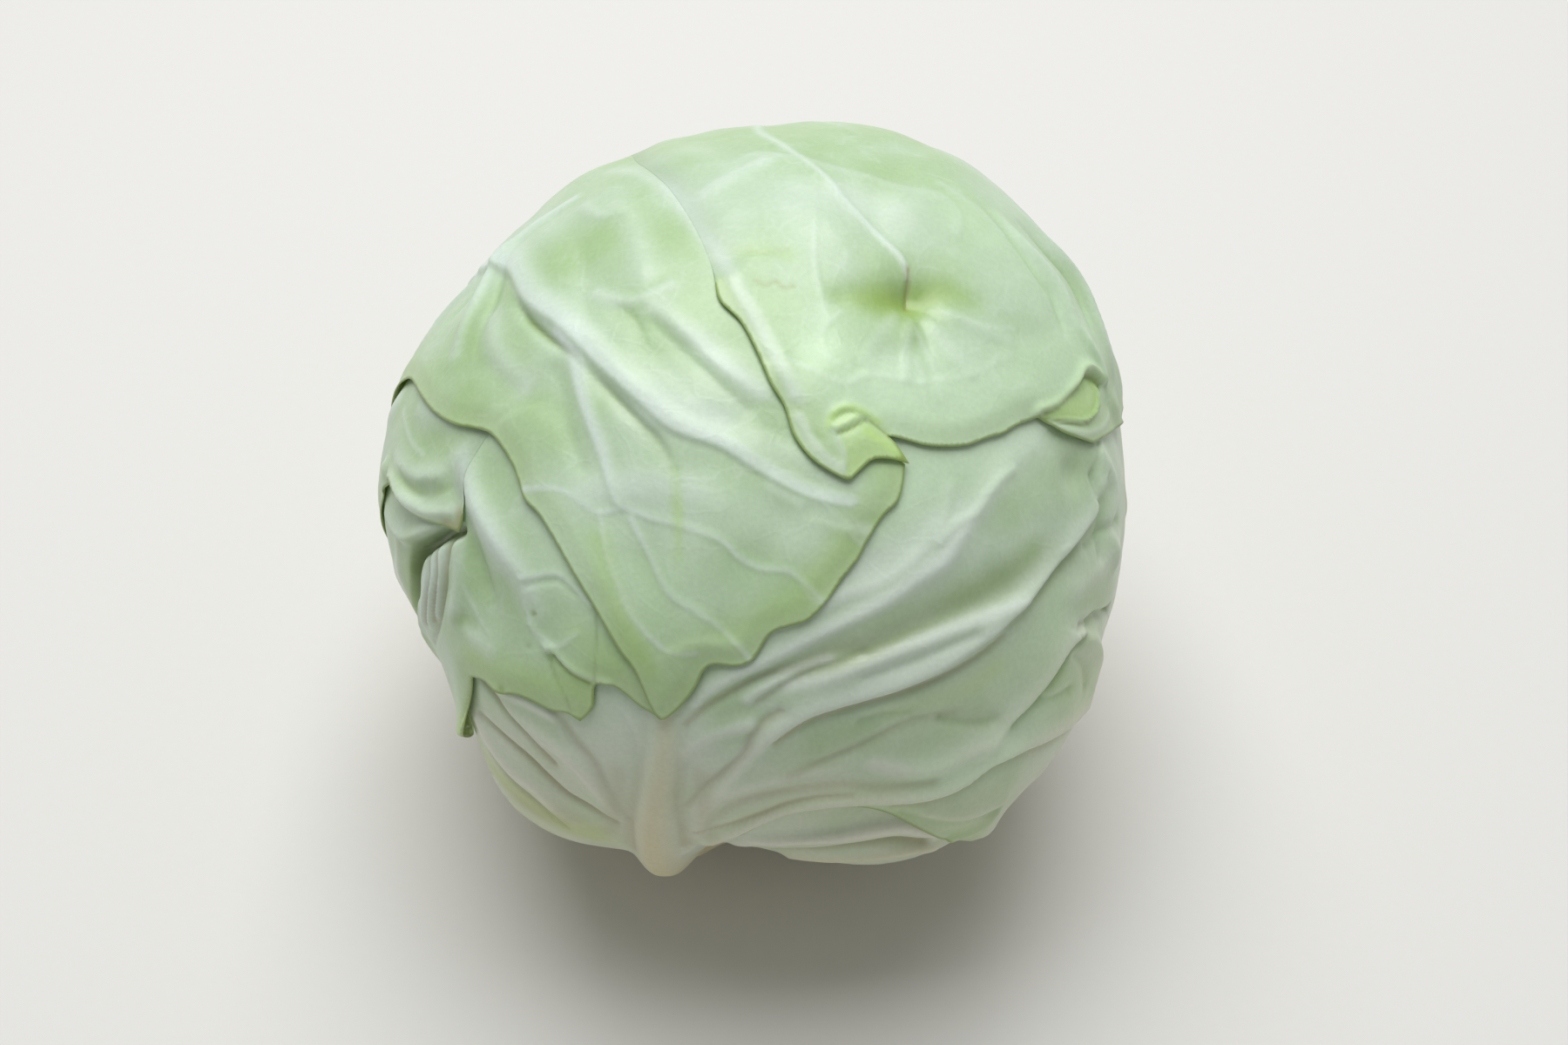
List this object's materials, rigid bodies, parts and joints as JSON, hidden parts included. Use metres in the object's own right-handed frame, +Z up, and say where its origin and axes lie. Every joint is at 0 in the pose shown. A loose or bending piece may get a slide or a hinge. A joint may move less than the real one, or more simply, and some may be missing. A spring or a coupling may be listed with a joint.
{
  "type": "white cabbage",
  "caption": "Round white cabbage head of overlapping pale green wrapper leaves over a compact heart, standing on its cut stalk.",
  "frame": {"origin": "centre of the flat cut face of the stalk, which the head stands on", "axes": "+Z up along the stalk to the crown, -Y to the front, where the thick midrib of the front leaf rises, +X to the viewer's right"},
  "size_m": [0.1603, 0.1613, 0.1529],
  "materials": {
    "green_leaf": "waxy pale green leaf with white veins",
    "pale_leaf": "waxy whitish green leaf with broad cream ribs",
    "inner_leaf": "smooth blanched leaf",
    "stalk": "cut stem, dry and fibrous"
  },
  "bodies": {
    "root": {"stalk": "stalk", "heart": "inner_leaf", "rear_leaf": "pale_leaf", "under_leaf": "pale_leaf", "right_leaf": "pale_leaf", "front_leaf": "pale_leaf", "left_leaf": "green_leaf", "side_leaf": "green_leaf", "middle_leaf": "green_leaf", "crown_leaf": "green_leaf"}
  },
  "joints": []
}
